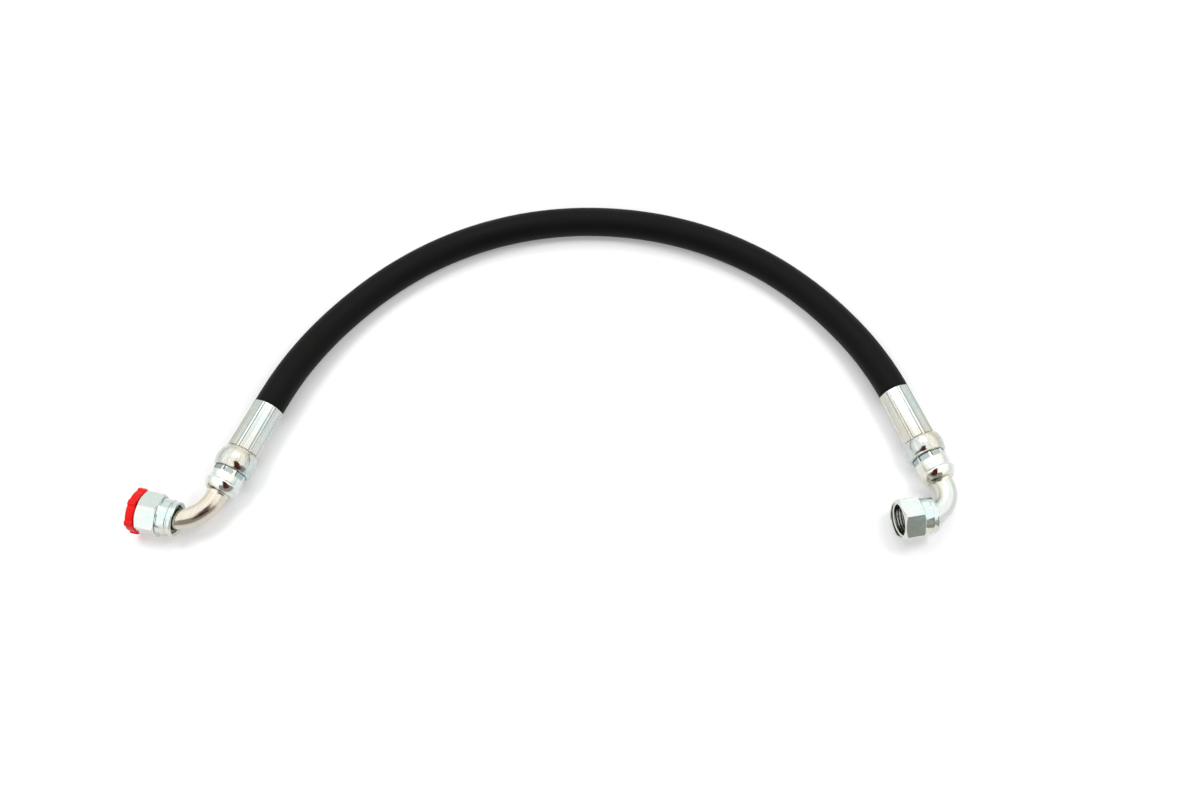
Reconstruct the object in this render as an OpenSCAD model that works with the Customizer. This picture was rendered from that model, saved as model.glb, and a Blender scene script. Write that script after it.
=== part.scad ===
// Hydraulic hose assembly: a compact two-wire hose with a crimped swivel elbow at
// each end, and a plastic transit plug in the port of end A. Millimetres, +Z up.
// The assembly lies on the plane z = 0. Every fitting is drawn along its own +X,
// which starts at the ferrule's mouth and points away from the hose.

/* [Hose] */
// Outside diameter of the hose
hose_d = 20.5; // [19.5:0.1:24]
// Bore of the hose
hose_bore = 12.7; // [11.5:0.1:13.5]
// Wall of the rubber liner
liner_wall = 1.4; // [1:0.1:1.7]
// Wall of each braided wire layer
braid_wall = 0.5; // [0.3:0.05:0.6]
// Wall of the rubber layer between the two braids
friction_wall = 0.3; // [0.2:0.05:0.5]

/* [Ferrule] */
// Length of the stretch that the dies press
crimp_len = 37; // [30:0.5:50]
// Across the pressed flats at the hose mouth
crimp_mouth_af = 20.5; // [20:0.1:23]
// Across the pressed flats at the bulge
crimp_end_af = 21.4; // [20.5:0.1:23.5]
// Height of the ridges left between the flats
crimp_ridge = 0.55; // [0.2:0.05:0.8]
// Length of each flat's lead-in at the hose mouth
mouth_lead = 4; // [2:0.5:8]
// Bore of the ferrule where it grips the hose
ferrule_bore = 17.5; // [16.8:0.1:18]
// Thickness of the ferrule's edge at the hose mouth
mouth_edge = 0.4; // [0.3:0.05:0.8]
// Diameter of the round bulge
bulge_d = 27.2; // [26:0.1:30]
// Length of the bulge
bulge_len = 13; // [11:0.5:16]
// Thickness of the locking lip in the bulge
lip_len = 4; // [3:0.5:6]
// Bore of the locking lip
lip_bore = 16; // [15:0.1:17]

/* [Stem] */
// Diameter of the barbed nipple
nipple_d = 12.6; // [11.8:0.1:13]
// Bore through stem and tube
flow_bore = 10; // [8:0.1:10.8]
// Depth of each barb
barb_depth = 0.4; // [0.2:0.05:0.5]
// Number of barbs on the nipple
barb_count = 7; // [3:1:9]
// Length of the octagonal band beside the bulge
band_len = 3.5; // [3:0.5:8]
// Across the flats of the octagonal band
band_af = 21; // [20:0.1:22]
// Diameter of the round collar
collar_d = 22.4; // [21.4:0.1:23]
// Length of collar A, from the band to the end of the stem
collar_len_a = 12.7; // [11:0.1:16]
// Length of collar B, from the band to the end of the stem
collar_len_b = 14.8; // [11:0.1:16]
// How far the round bead at the collar's end stands over the collar
bead_rise = 0.8; // [0.5:0.1:1.3]
// Radius of the bead's rounding
bead_round = 3.3; // [2.6:0.1:3.8]
// Depth of the collar's socket for the tube
socket_len = 8; // [4:0.5:9]

/* [Bent tubes] */
// Outside diameter of the tubes
tube_d = 14; // [13:0.1:14.4]
// Straight neck of tube A, from the collar to the bend
neck_a = 3.9; // [2.5:0.1:20]
// Bend radius of tube A, on its centre line
bend_r_a = 23.5; // [20:0.5:60]
// Turn of tube A in degrees
bend_a = 80; // [60:1:95]
// Turn of tube A's bend out of the flat in degrees
roll_a = 0; // [-10:0.5:10]
// Straight end of tube A, from the bend to the face of its nut
tail_a = 19.1; // [18.5:0.1:30]
// Straight neck of tube B, from the collar to the bend
neck_b = 3.5; // [2.5:0.1:20]
// Bend radius of tube B, on its centre line
bend_r_b = 16; // [15:0.5:60]
// Turn of tube B in degrees
bend_b = 99.5; // [60:0.5:110]
// Turn of tube B's bend out of the flat in degrees
roll_b = -5.5; // [-10:0.5:10]
// Straight end of tube B, from the bend to the face of its nut
tail_b = 22.2; // [18.5:0.1:30]

/* [Swivel nuts] */
// Across the flats of the hexagon
nut_af = 25.4; // [24.6:0.1:28]
// Length of the hexagon
hex_len = 13.5; // [12:0.5:18]
// Length of the crimped shoulder behind the hexagon
shoulder_len = 6.5; // [6:0.5:10]
// Length of the rear ring
ring_len = 4; // [3:0.5:8]
// Diameter of the rear ring
ring_d = 23; // [21.6:0.1:24]
// Crest diameter of the internal thread
thread_crest_d = 20.3; // [20:0.05:20.5]
// Root diameter of the internal thread
thread_root_d = 22.2; // [21.5:0.05:22.6]
// Pitch of the internal thread
thread_pitch = 1.814; // [1.6:0.001:2]
// Number of thread grooves
thread_turns = 5; // [3:1:5]
// Bore that guides the seat head
guide_bore = 20.9; // [20.7:0.1:21.3]
// Bore of the crimped skirt behind the seat head
skirt_bore = 18.4; // [17.9:0.1:18.8]
// Lead-in at the rear end of the skirt
rear_lead = 1.1; // [1:0.1:1.3]
// Turn of nut A about its own axis in degrees
nut_turn_a = -2; // [-30:1:30]
// Turn of nut B about its own axis in degrees
nut_turn_b = -15; // [-30:1:30]

/* [Seat heads] */
// Half angle of the flared seat in degrees
seat_angle = 37; // [30:1:45]
// Mouth diameter of the flared seat
seat_d = 18.4; // [17.6:0.1:19]
// Throat diameter of the flared seat
throat_d = 12.4; // [11.8:0.1:13]
// Length of the head's guiding land
head_land = 4.6; // [4:0.1:5]
// Length of the head from its front rim
head_len = 8.1; // [7.6:0.1:8.1]

/* [Transit plug] */
// Diameter over the grip lugs
plug_d = 30; // [29.6:0.1:34]
// Diameter of the plug's head between the lugs
plug_head_d = 27.4; // [26:0.1:29]
// Thickness of the plug's head
plug_head_len = 5.3; // [4:0.1:9]
// Number of grip lugs
lug_count = 6; // [4:2:10]
// Width of a grip lug
lug_w = 3.4; // [2.4:0.1:4]
// Wall of the hollow plug
plug_wall = 1.9; // [1.2:0.1:3]

/* [Hidden] */
$fn = 64;

// Where the two ferrule mouths lie, and the headings of the fittings in degrees
mouth_a = [-187.4, 39.4];
heading_a = 247;
mouth_b = [234, 51.5];
heading_b = 291;
floor_gap = 0.1;
axis_z_a = plug_d / 2;
axis_z_b = bulge_d / 2 + floor_gap;
start_a = [mouth_a.x, mouth_a.y, axis_z_a];
start_b = [mouth_b.x, mouth_b.y, axis_z_b];

// The hose's centre line between the two mouths
route = [
  [-173.6, 68.6, 14.2], [-156.1, 96.1, 12.4], [-136.1, 120.1, 10.8], [-113.6, 141.1, 10.3],
  [-87.1, 159.6, 10.3], [-58.1, 174.1, 10.3], [-27.6, 184.1, 10.3], [3.9, 189.6, 10.3],
  [35.9, 190.6, 10.3], [68.4, 187.1, 10.3], [99.9, 179.1, 10.3], [128.9, 167.1, 10.3],
  [155.9, 151.1, 10.3], [180.9, 130.6, 10.3], [202.4, 106.6, 11.3], [219.9, 80.6, 12.9]
];

// Clearances
fit = 0.05;
layer_gap = 0.03;
axial_gap = 0.1;
swivel_gap = 0.1;
plug_seat_gap = 0.2;
over = 1;

// Hose layers: radii from the bore outwards, free and under the crimp
sides = 12;
hose_r = hose_d / 2;
liner_r = [hose_bore / 2, hose_bore / 2 + liner_wall];
inner_braid_r = [liner_r[1] + layer_gap, liner_r[1] + layer_gap + braid_wall];
friction_r = [inner_braid_r[1] + layer_gap, inner_braid_r[1] + layer_gap + friction_wall];
outer_braid_r = [friction_r[1] + layer_gap, friction_r[1] + layer_gap + braid_wall];
cover_r = [outer_braid_r[1] + layer_gap, hose_r];
crimped_in = (nipple_d / 2 + layer_gap) / cos(180 / sides);
crimped_out = ferrule_bore / 2 - layer_gap;
squeeze_rate = (crimped_out - crimped_in) / (hose_r - liner_r[0]);
hose_overrun = 3;
hose_end = crimp_len + hose_overrun;
pinch_len = 2;
mouth_bore_r = crimp_mouth_af / 2 - mouth_edge;
mouth_free = (min(mouth_bore_r - fit, hose_r) - crimped_out) / (hose_r - crimped_out);
pressed = 0;
released = 1;

// Ferrule
dies = 8;
die_turn_a = 3;
die_turn_b = -2.5;
crimp_mouth_r = crimp_mouth_af / 2 + crimp_ridge;
crimp_end_r = crimp_end_af / 2 + crimp_ridge;
crimp_taper = atan((crimp_end_af - crimp_mouth_af) / 2 / crimp_len);
ferrule_len = crimp_len + bulge_len;
bulge_mid = crimp_len + bulge_len / 2;
bulge_edge_r = sqrt(pow(bulge_d / 2, 2) - pow(bulge_len / 2, 2));
chamber_wall = 1.5;
bulge_wall = 1.05;
chamber_start = crimp_len + chamber_wall;
chamber_end = ferrule_len - lip_len;
chamber_r = bulge_edge_r - bulge_wall;

// Stem
nipple_start = 2;
barb_step = 5;
flange_len = 2.4;
flange_gap = 1.4;
flange_r = chamber_r - flange_gap;
band_start = ferrule_len + axial_gap;
band_end = band_start + band_len;
band_turn_a = 7.5;
band_turn_b = 11.4;
band_corner = 0.8;
band_runout = 0.45;
stem_end_a = band_end + collar_len_a;
stem_end_b = band_end + collar_len_b;
bead_mid_r = collar_d / 2 + bead_rise - bead_round;
bead_start = -acos(1 - bead_rise / bead_round);
bead_steps = 12;
braze_leg = 1.5;

// Bent tubes: how far a straight end laps the bend, and how much larger it is in radius
end_lap = 0.3;
end_grow = 0.03;

// Nut
nut_len = hex_len + shoulder_len + ring_len;
hex_corner_r = nut_af / 2 / cos(30);
face_edge_r = nut_af / 2;
rear_edge_r = nut_af / 2 + 0.6;
chamfer_slope = tan(30);
shoulder_start_r = nut_af / 2 - 0.4;
shoulder_flat = ring_d / 2 - 0.05;
ring_flat = ring_d / 2 - 0.4;
ring_chamfer = 0.6;
mouth_chamfer = 1.15;
thread_r = thread_crest_d / 2;
thread_root_r = thread_root_d / 2;
groove_w = (thread_root_r - thread_r) * 2 * tan(30);
first_land = 0.45;
last_land = 0.05;
first_groove = mouth_chamfer + first_land;
thread_end = first_groove + (thread_turns - 1) * thread_pitch + groove_w + last_land;
guide_r = guide_bore / 2;
guide_start = thread_end + guide_r - thread_r;
head_depth = guide_start + swivel_gap;
head_r = guide_r - swivel_gap;
neck_r = skirt_bore / 2 - swivel_gap;
land_end = head_depth + head_land;
skirt_start = land_end + swivel_gap;
shoulder_drop = guide_r - skirt_bore / 2;
flat_margin = 1;

// Seat head
rim_chamfer = 0.3;
seat_len = (seat_d - throat_d) / 2 / tan(seat_angle);
throat_end = head_depth + seat_len + 0.5;
head_end = head_depth + head_len;
braze_groove = 0.95;
tube_end_depth = throat_end + fit;

// Transit plug
plug_tip_gap = 1.9;
plug_body_len = head_depth - plug_tip_gap;
plug_r = thread_r - 0.25;
plug_tip_r = plug_r - 0.4;
fin_r = thread_r - fit;
fin_count = 3;
fin_margin = 3.1;
fin_step = (plug_body_len - fin_margin) / fin_count;
fin_len = 0.6;
plug_floor = 2;
plug_turn = 2;

// ---------- places ----------

module along_x() {
  rotate([0, 90, 0]) children();
}

module at_end(start, heading) {
  translate(start) rotate([0, 0, heading]) children();
}

// Origin at the face of the nut, +X out of its mouth
module at_port(stem_end, neck, bend_r, bend, roll, tail) {
  rotate([roll, 0, 0])
    translate([stem_end + neck + bend_r * sin(bend), -bend_r * (1 - cos(bend)), 0])
      rotate([0, 0, -bend])
        translate([tail, 0, 0])
          children();
}

module end_a() {
  at_end(start_a, heading_a) children();
}

module end_b() {
  at_end(start_b, heading_b) children();
}

module port_a() {
  end_a() at_port(stem_end_a, neck_a, bend_r_a, bend_a, roll_a, tail_a) children();
}

module port_b() {
  end_b() at_port(stem_end_b, neck_b, bend_r_b, bend_b, roll_b, tail_b) children();
}

// ---------- hose layers ----------

function unit(v) = v / norm(v);
function heading_dir(heading) = [cos(heading), sin(heading), 0];
function side_of(t) = unit(cross([0, 0, 1], t));
function top_of(t) = cross(t, side_of(t));
function crimped(r) = crimped_in + (r - liner_r[0]) * squeeze_rate;
function layer_radius(r, free) = crimped(r) + (r - crimped(r)) * free;
function ring(place, tangent, r) = [
  for (i = [0 : sides - 1])
    let (turn = i * 360 / sides)
      place + r * (cos(turn) * side_of(tangent) + sin(turn) * top_of(tangent))
];

// Each station is [distance past the mouth into the ferrule, share of the free size]
stations = [[hose_end, pressed], [mouth_lead, pressed], [0, mouth_free], [-pinch_len, released]];
into_a = heading_dir(heading_a);
into_b = heading_dir(heading_b);
last = len(route) - 1;
rings = concat(
  [for (s = stations) [start_a + s[0] * into_a, -into_a, s[1]]],
  [for (i = [0 : last])
    let (before = i == 0 ? start_a : route[i - 1], after = i == last ? start_b : route[i + 1])
      [route[i], unit(after - before), released]],
  [for (j = [len(stations) - 1 : -1 : 0])
    let (s = stations[j])
      [start_b + s[0] * into_b, into_b, s[1]]]
);

function tube_points(radii) = [
  for (s = rings)
    for (r = [radii[1], radii[0]])
      for (p = ring(s[0], s[1], layer_radius(r, s[2])))
        p
];

// Two triangles for the four corners a, b, c, d
function pair(a, b, c, d) = [[a, b, c], [a, c, d]];

function tube_faces(count) = [
  for (k = [0 : count - 2])
    for (i = [0 : sides - 1])
      let (j = (i + 1) % sides, here = k * 2 * sides, next = here + 2 * sides)
        for (f = concat(
          pair(here + i, next + i, next + j, here + j),
          pair(here + sides + i, here + sides + j, next + sides + j, next + sides + i)
        ))
          f
];

function end_faces(first, flip) = [
  for (i = [0 : sides - 1])
    let (j = (i + 1) % sides)
      for (f = flip
        ? pair(first + i, first + sides + i, first + sides + j, first + j)
        : pair(first + i, first + j, first + sides + j, first + sides + i))
        f
];

module hose_layer(radii) {
  count = len(rings);
  polyhedron(
    points = tube_points(radii),
    faces = concat(tube_faces(count), end_faces(0, false), end_faces((count - 1) * 2 * sides, true)),
    convexity = 6
  );
}

module hose_cover() {
  color("#1c1d1e") hose_layer(cover_r);
}

module outer_braid() {
  color("#8f8c86") hose_layer(outer_braid_r);
}

module friction_layer() {
  color("#2b2b2c") hose_layer(friction_r);
}

module inner_braid() {
  color("#8f8c86") hose_layer(inner_braid_r);
}

module hose_liner() {
  color("#242526") hose_layer(liner_r);
}

// ---------- ferrule ----------

// Cutters for a ring of flats: the flats start at from, are long mm long, stand at
// distance away from the axis and lean outwards by lean degrees
module flats(count, from, long, away, lean = 0) {
  for (i = [0 : count - 1])
    rotate([0, 0, (i + 0.5) * 360 / count])
      translate([away, 0, from])
        rotate([0, lean, 0])
          translate([0, -away, 0])
            cube([away, 2 * away, long]);
}

module ferrule(die_turn) {
  color("#cfd3d2")
    along_x()
      rotate([0, 0, die_turn])
        difference() {
          union() {
            difference() {
              cylinder(h = crimp_len, r1 = crimp_mouth_r, r2 = crimp_end_r);
              flats(dies, -over, crimp_len + 2 * over, crimp_mouth_af / 2, crimp_taper);
            }
            intersection() {
              translate([0, 0, bulge_mid]) sphere(r = bulge_d / 2);
              translate([0, 0, crimp_len]) cylinder(h = bulge_len, r = bulge_d);
            }
          }
          cylinder(h = mouth_lead, r1 = mouth_bore_r, r2 = ferrule_bore / 2);
          translate([0, 0, -over]) cylinder(h = ferrule_len, r = ferrule_bore / 2);
          translate([0, 0, chamber_start]) cylinder(h = chamber_end - chamber_start, r = chamber_r);
          cylinder(h = ferrule_len + over, r = lip_bore / 2);
        }
}

module ferrule_a() {
  end_a() ferrule(die_turn_a);
}

module ferrule_b() {
  end_b() ferrule(die_turn_b);
}

// ---------- stem ----------

nipple_r = nipple_d / 2;
barb_root_r = nipple_r - barb_depth;
barbs = [
  for (i = [0 : barb_count - 1])
    for (p = [[barb_root_r, nipple_start + i * barb_step], [nipple_r, nipple_start + (i + 1) * barb_step - 1]])
      p
];
barbs_end = nipple_start + barb_count * barb_step;

// The bead swells out of the collar and rounds over to the end of the stem
function bead_arc(stem_end) = [
  for (i = [0 : bead_steps])
    let (turn = bead_start + (90 - bead_start) * i / bead_steps)
      [bead_mid_r + bead_round * cos(turn), stem_end - bead_round * (1 - sin(turn))]
];

function stem_profile(stem_end) = concat(
  [[flow_bore / 2, nipple_start]],
  barbs,
  [
    [nipple_r, max(barbs_end, hose_end)],
    [nipple_r, chamber_end - axial_gap - flange_len],
    [flange_r, chamber_end - axial_gap - flange_len],
    [flange_r, chamber_end - axial_gap],
    [lip_bore / 2 - fit, chamber_end - axial_gap],
    [lip_bore / 2 - fit, band_start],
    [band_af / 2 + band_corner, band_start],
    [band_af / 2 + band_corner, band_end],
    [collar_d / 2, band_end]
  ],
  bead_arc(stem_end),
  [
    [tube_d / 2 + fit, stem_end],
    [tube_d / 2 + fit, stem_end - socket_len],
    [flow_bore / 2, stem_end - socket_len]
  ]
);

module stem(stem_end, band_turn) {
  color("#c9cdcc")
    along_x()
      rotate([0, 0, band_turn])
        difference() {
          rotate_extrude() polygon(stem_profile(stem_end));
          flats(dies, band_start - fit, band_len + band_runout, band_af / 2);
        }
}

module stem_a() {
  end_a() stem(stem_end_a, band_turn_a);
}

module stem_b() {
  end_b() stem(stem_end_b, band_turn_b);
}

module stem_braze(stem_end) {
  color("#c8b98e")
    along_x()
      rotate_extrude()
        polygon([
          [tube_d / 2 + fit, stem_end + fit / 2],
          [tube_d / 2 + braze_leg, stem_end + fit / 2],
          [tube_d / 2 + fit, stem_end + braze_leg]
        ]);
}

module stem_braze_a() {
  end_a() stem_braze(stem_end_a);
}

module stem_braze_b() {
  end_b() stem_braze(stem_end_b);
}

// ---------- bent tube ----------

module tube_wall(grow) {
  difference() {
    circle(r = tube_d / 2 + grow);
    circle(r = flow_bore / 2 + grow);
  }
}

// The straight ends are sized a touch larger and lap the bend, so that they join it
module bent_tube(stem_end, neck, bend_r, bend, roll, tail) {
  color("#cdd0cd")
    union() {
      translate([stem_end - socket_len + fit, 0, 0])
        along_x()
          linear_extrude(height = socket_len - fit + neck + end_lap)
            tube_wall(end_grow);
      rotate([roll, 0, 0])
        translate([stem_end + neck, -bend_r, 0])
          rotate([0, 0, 90 - bend])
            rotate_extrude(angle = bend)
              translate([bend_r, 0])
                tube_wall(0);
      at_port(stem_end, neck, bend_r, bend, roll, tail)
        translate([-tail - end_lap, 0, 0])
          along_x()
            linear_extrude(height = tail + end_lap - tube_end_depth)
              tube_wall(end_grow);
    }
}

module bent_tube_a() {
  end_a() bent_tube(stem_end_a, neck_a, bend_r_a, bend_a, roll_a, tail_a);
}

module bent_tube_b() {
  end_b() bent_tube(stem_end_b, neck_b, bend_r_b, bend_b, roll_b, tail_b);
}

// ---------- seat head ----------

module seat_head() {
  color("#c4c6c2")
    along_x()
      rotate_extrude()
        polygon([
          [seat_d / 2, -head_depth],
          [head_r - rim_chamfer, -head_depth],
          [head_r, -head_depth - rim_chamfer],
          [head_r, -land_end],
          [neck_r, -land_end - (head_r - neck_r)],
          [neck_r, -head_end],
          [tube_d / 2 + fit + braze_groove, -head_end],
          [tube_d / 2 + fit, -head_end + braze_groove],
          [tube_d / 2 + fit, -throat_end],
          [throat_d / 2, -throat_end],
          [throat_d / 2, -head_depth - seat_len]
        ]);
}

module seat_head_a() {
  port_a() seat_head();
}

module seat_head_b() {
  port_b() seat_head();
}

module head_braze() {
  color("#c8b98e")
    along_x()
      rotate_extrude()
        polygon([
          [tube_d / 2 + fit, -head_end],
          [tube_d / 2 + braze_groove - fit, -head_end],
          [tube_d / 2 + fit, -head_end + braze_groove - 3 * fit]
        ]);
}

module head_braze_a() {
  port_a() head_braze();
}

module head_braze_b() {
  port_b() head_braze();
}

// ---------- swivel nut ----------

grooves = [
  for (i = [0 : thread_turns - 1])
    let (z = -first_groove - i * thread_pitch)
      for (p = [[thread_r, z], [thread_root_r, z - groove_w / 2], [thread_r, z - groove_w]])
        p
];
nut_bore = concat(
  [[0, over], [thread_r + mouth_chamfer + over, over], [thread_r, -mouth_chamfer]],
  grooves,
  [
    [thread_r, -thread_end],
    [guide_r, -guide_start],
    [guide_r, -skirt_start],
    [skirt_bore / 2, -skirt_start - shoulder_drop],
    [skirt_bore / 2, -nut_len + rear_lead],
    [skirt_bore / 2 + rear_lead + over, -nut_len - over],
    [0, -nut_len - over]
  ]
);
hex_outline = [
  [0, 0],
  [face_edge_r, 0],
  [hex_corner_r, -(hex_corner_r - face_edge_r) * chamfer_slope],
  [hex_corner_r, -hex_len + (hex_corner_r - rear_edge_r) * chamfer_slope],
  [rear_edge_r, -hex_len],
  [0, -hex_len]
];
rear_outline = [
  [0, -hex_len + over],
  [shoulder_start_r, -hex_len + over],
  [shoulder_start_r, -hex_len],
  [ring_d / 2 + 0.4, -hex_len - shoulder_len],
  [ring_d / 2, -hex_len - shoulder_len],
  [ring_d / 2, -nut_len + ring_chamfer],
  [ring_d / 2 - ring_chamfer, -nut_len],
  [0, -nut_len]
];

module swivel_nut(turn) {
  color("#d3d8d6")
    rotate([turn, 0, 0])
      along_x()
        difference() {
          union() {
            intersection() {
              translate([0, 0, -hex_len]) cylinder(h = hex_len, r = hex_corner_r, $fn = 6);
              rotate_extrude() polygon(hex_outline);
            }
            difference() {
              rotate_extrude() polygon(rear_outline);
              flats(6, -hex_len - shoulder_len, shoulder_len - flat_margin, shoulder_flat);
              flats(6, -nut_len + flat_margin, ring_len - 2 * flat_margin, ring_flat);
            }
          }
          rotate_extrude() polygon(nut_bore);
        }
}

module swivel_nut_a() {
  port_a() swivel_nut(nut_turn_a);
}

module swivel_nut_b() {
  port_b() swivel_nut(nut_turn_b);
}

// ---------- transit plug ----------

module transit_plug() {
  color("#e8231c")
    port_a()
      rotate([plug_turn, 0, 0])
        along_x()
          difference() {
            union() {
              translate([0, 0, plug_seat_gap]) cylinder(h = plug_head_len, r = plug_head_d / 2);
              for (i = [0 : lug_count - 1])
                rotate([0, 0, i * 360 / lug_count])
                  translate([plug_d / 2 - lug_w / 2, 0, plug_seat_gap])
                    cylinder(h = plug_head_len, r = lug_w / 2);
              translate([0, 0, -plug_body_len])
                cylinder(h = plug_body_len + over, r1 = plug_tip_r, r2 = plug_r);
              for (i = [0 : fin_count - 1])
                translate([0, 0, -(i + 1) * fin_step - fin_len]) cylinder(h = fin_len, r = fin_r);
            }
            translate([0, 0, -plug_body_len + plug_floor])
              cylinder(h = plug_body_len + plug_head_len, r = plug_r - plug_wall);
          }
}

hose_cover();
outer_braid();
friction_layer();
inner_braid();
hose_liner();
ferrule_a();
stem_a();
stem_braze_a();
bent_tube_a();
seat_head_a();
head_braze_a();
swivel_nut_a();
ferrule_b();
stem_b();
stem_braze_b();
bent_tube_b();
seat_head_b();
head_braze_b();
swivel_nut_b();
transit_plug();
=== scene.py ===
import bpy
import math
from mathutils import Matrix, Vector


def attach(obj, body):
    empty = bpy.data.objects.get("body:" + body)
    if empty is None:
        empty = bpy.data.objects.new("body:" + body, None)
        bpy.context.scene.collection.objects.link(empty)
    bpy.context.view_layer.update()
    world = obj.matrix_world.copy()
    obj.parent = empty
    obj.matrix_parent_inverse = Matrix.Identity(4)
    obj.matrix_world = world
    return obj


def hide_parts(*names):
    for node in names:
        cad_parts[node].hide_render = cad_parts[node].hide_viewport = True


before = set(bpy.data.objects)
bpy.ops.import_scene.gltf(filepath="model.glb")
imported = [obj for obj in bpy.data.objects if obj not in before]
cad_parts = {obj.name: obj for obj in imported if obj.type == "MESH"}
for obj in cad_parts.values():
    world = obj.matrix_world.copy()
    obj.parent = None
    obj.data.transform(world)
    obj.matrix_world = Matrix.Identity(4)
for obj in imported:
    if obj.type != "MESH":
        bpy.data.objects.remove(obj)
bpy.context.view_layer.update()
mm = 0.001
print("frame loaded")


def deselectAll():
    if bpy.context.mode != "OBJECT":
        bpy.ops.object.mode_set(mode="OBJECT")
    bpy.ops.object.select_all(action="DESELECT")


def selectOnly(piece):
    deselectAll()
    piece.select_set(True)
    bpy.context.view_layer.objects.active = piece


def turnPiece(name, profile, sides):
    # A ring is drawn out and resized along the profile's (x, radius) points, and its ends are joined up
    deselectAll()
    x, radius = profile[0]
    bpy.ops.mesh.primitive_circle_add(
        vertices=sides, radius=radius * mm, location=(x * mm, 0, 0), rotation=(0, math.pi / 2, 0)
    )
    piece = bpy.context.object
    piece.name = name
    bpy.ops.object.transform_apply(location=True, rotation=True, scale=True)
    bpy.ops.object.mode_set(mode="EDIT")
    bpy.ops.mesh.select_all(action="SELECT")
    for (lastX, lastRadius), (x, radius) in zip(profile, profile[1:] + profile[:1]):
        bpy.ops.mesh.extrude_region_move(TRANSFORM_OT_translate={"value": ((x - lastX) * mm, 0, 0)})
        bpy.ops.transform.resize(
            value=(1, radius / lastRadius, radius / lastRadius), center_override=(x * mm, 0, 0)
        )
    bpy.ops.mesh.select_all(action="SELECT")
    bpy.ops.mesh.remove_doubles(threshold=0.001 * mm)
    bpy.ops.mesh.normals_make_consistent(inside=False)
    bpy.ops.object.mode_set(mode="OBJECT")
    return piece


def polarOf(point):
    return point.x / mm, math.hypot(point.y, point.z) / mm, math.degrees(math.atan2(point.z, point.y))


def moveTo(vertex, x, radius, turn):
    turn = math.radians(turn)
    vertex.co = Vector((x, radius * math.cos(turn), radius * math.sin(turn))) * mm


def spreadTurns(piece, corners, offsets):
    # Each sector between two corners gets its lines at these turns from the nearer corner, in degrees
    sector = 360 / corners
    places = list(offsets) + [sector / 2] + [sector - offset for offset in reversed(offsets[1:])]
    for vertex in piece.data.vertices:
        x, radius, turn = polarOf(vertex.co)
        step = round((turn % 360) / (sector / len(places)))
        number, place = divmod(step, len(places))
        moveTo(vertex, x, radius, number * sector + places[place])


def sideRadius(turn, corners, across, rounding):
    # Radius of a polygon with rounded corners, which has a corner at turn 0
    half = math.pi / corners
    away = abs((math.radians(turn) + half) % (2 * half) - half)
    middle = (across / 2 - rounding) / math.cos(half)
    edge = math.atan2(rounding * math.sin(half), middle + rounding * math.cos(half))
    if away < edge:
        return middle * math.cos(away) + math.sqrt(rounding ** 2 - (middle * math.sin(away)) ** 2)
    return across / 2 / math.cos(half - away)


def pressFlats(piece, start, end, inner, corners, across, rounding):
    # What lies outside a polygon between start and end is pressed down to it
    slack = 0.001
    for vertex in piece.data.vertices:
        x, radius, turn = polarOf(vertex.co)
        if start - slack < x < end + slack and radius > inner:
            moveTo(vertex, x, min(radius, sideRadius(turn, corners, across, rounding)), turn)


def turnAbout(piece, degrees):
    selectOnly(piece)
    piece.rotation_euler = (math.radians(degrees), 0, 0)
    bpy.ops.object.transform_apply(location=True, rotation=True, scale=True)


def placePiece(piece, place):
    selectOnly(piece)
    piece.matrix_world = place
    bpy.ops.object.transform_apply(location=True, rotation=True, scale=True)


def smoothPiece(piece, angle):
    selectOnly(piece)
    bpy.ops.object.shade_smooth_by_angle(angle=math.radians(angle))


def finishPiece(piece, material, body, slotName, *nodes):
    piece.data.materials.clear()
    piece.data.materials.append(material)
    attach(piece, body)
    if nodes:
        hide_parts(*nodes)


def fromHex(text):
    channels = [int(text[i:i + 2], 16) / 255 for i in (1, 3, 5)]
    return [c / 12.92 if c <= 0.04045 else ((c + 0.055) / 1.055) ** 2.4 for c in channels] + [1]


def patternScale(size):
    # A pattern that repeats about every size millimetres
    return 1 / (size * mm)


def addNode(tree, kind, inputs, stops=(), **settings):
    # An input takes a value or another node's output; stops are a ramp's (place, colour) pairs
    node = tree.nodes.new(kind)
    for name, value in settings.items():
        setattr(node, name, value)
    for name, value in inputs.items():
        if isinstance(value, bpy.types.NodeSocket):
            tree.links.new(value, node.inputs[name])
        else:
            node.inputs[name].default_value = value
    if stops:
        elements = node.color_ramp.elements
        elements[0].position, elements[-1].position = stops[0][0], stops[-1][0]
        for place, colour in stops[1:-1]:
            elements.new(place)
        for element, (place, colour) in zip(elements, stops):
            element.color = fromHex(colour)
    return node


def newMaterial(name):
    material = bpy.data.materials.new(name)
    material.use_nodes = True
    material.node_tree.nodes.clear()
    return material, material.node_tree


# The middle of the ferrule's mouth, the way the fitting points, how its tube bends and where each piece's
# corners are turned to; stemEnd and crimpEnd are measured from the mouth
endA = {
    "mouth": (-187.4, 39.4, 15.0), "heading": 247, "dieTurn": 3, "crimpEnd": 35.4, "bandTurn": 7.5,
    "stemEnd": 66.3, "neck": 3.9, "bendRadius": 23.5, "bend": 80, "roll": 0, "tail": 19.1, "nutTurn": -2,
    "nutBody": "nut_a", "letter": "a", "tubeTones": ("#bfc2be", "#c6bfb2", "#cabca6"),
}
endB = {
    "mouth": (234.0, 51.5, 13.7), "heading": 291, "dieTurn": -2.5, "crimpEnd": 38.0, "bandTurn": 11.4,
    "stemEnd": 68.4, "neck": 3.5, "bendRadius": 16, "bend": 99.5, "roll": -5.5, "tail": 22.2, "nutTurn": -15,
    "nutBody": "nut_b", "letter": "b", "tubeTones": ("#c3c7c4", "#c3c7c4", "#c8c4b5"),
}
hoseBody = "hose_line"


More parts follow.
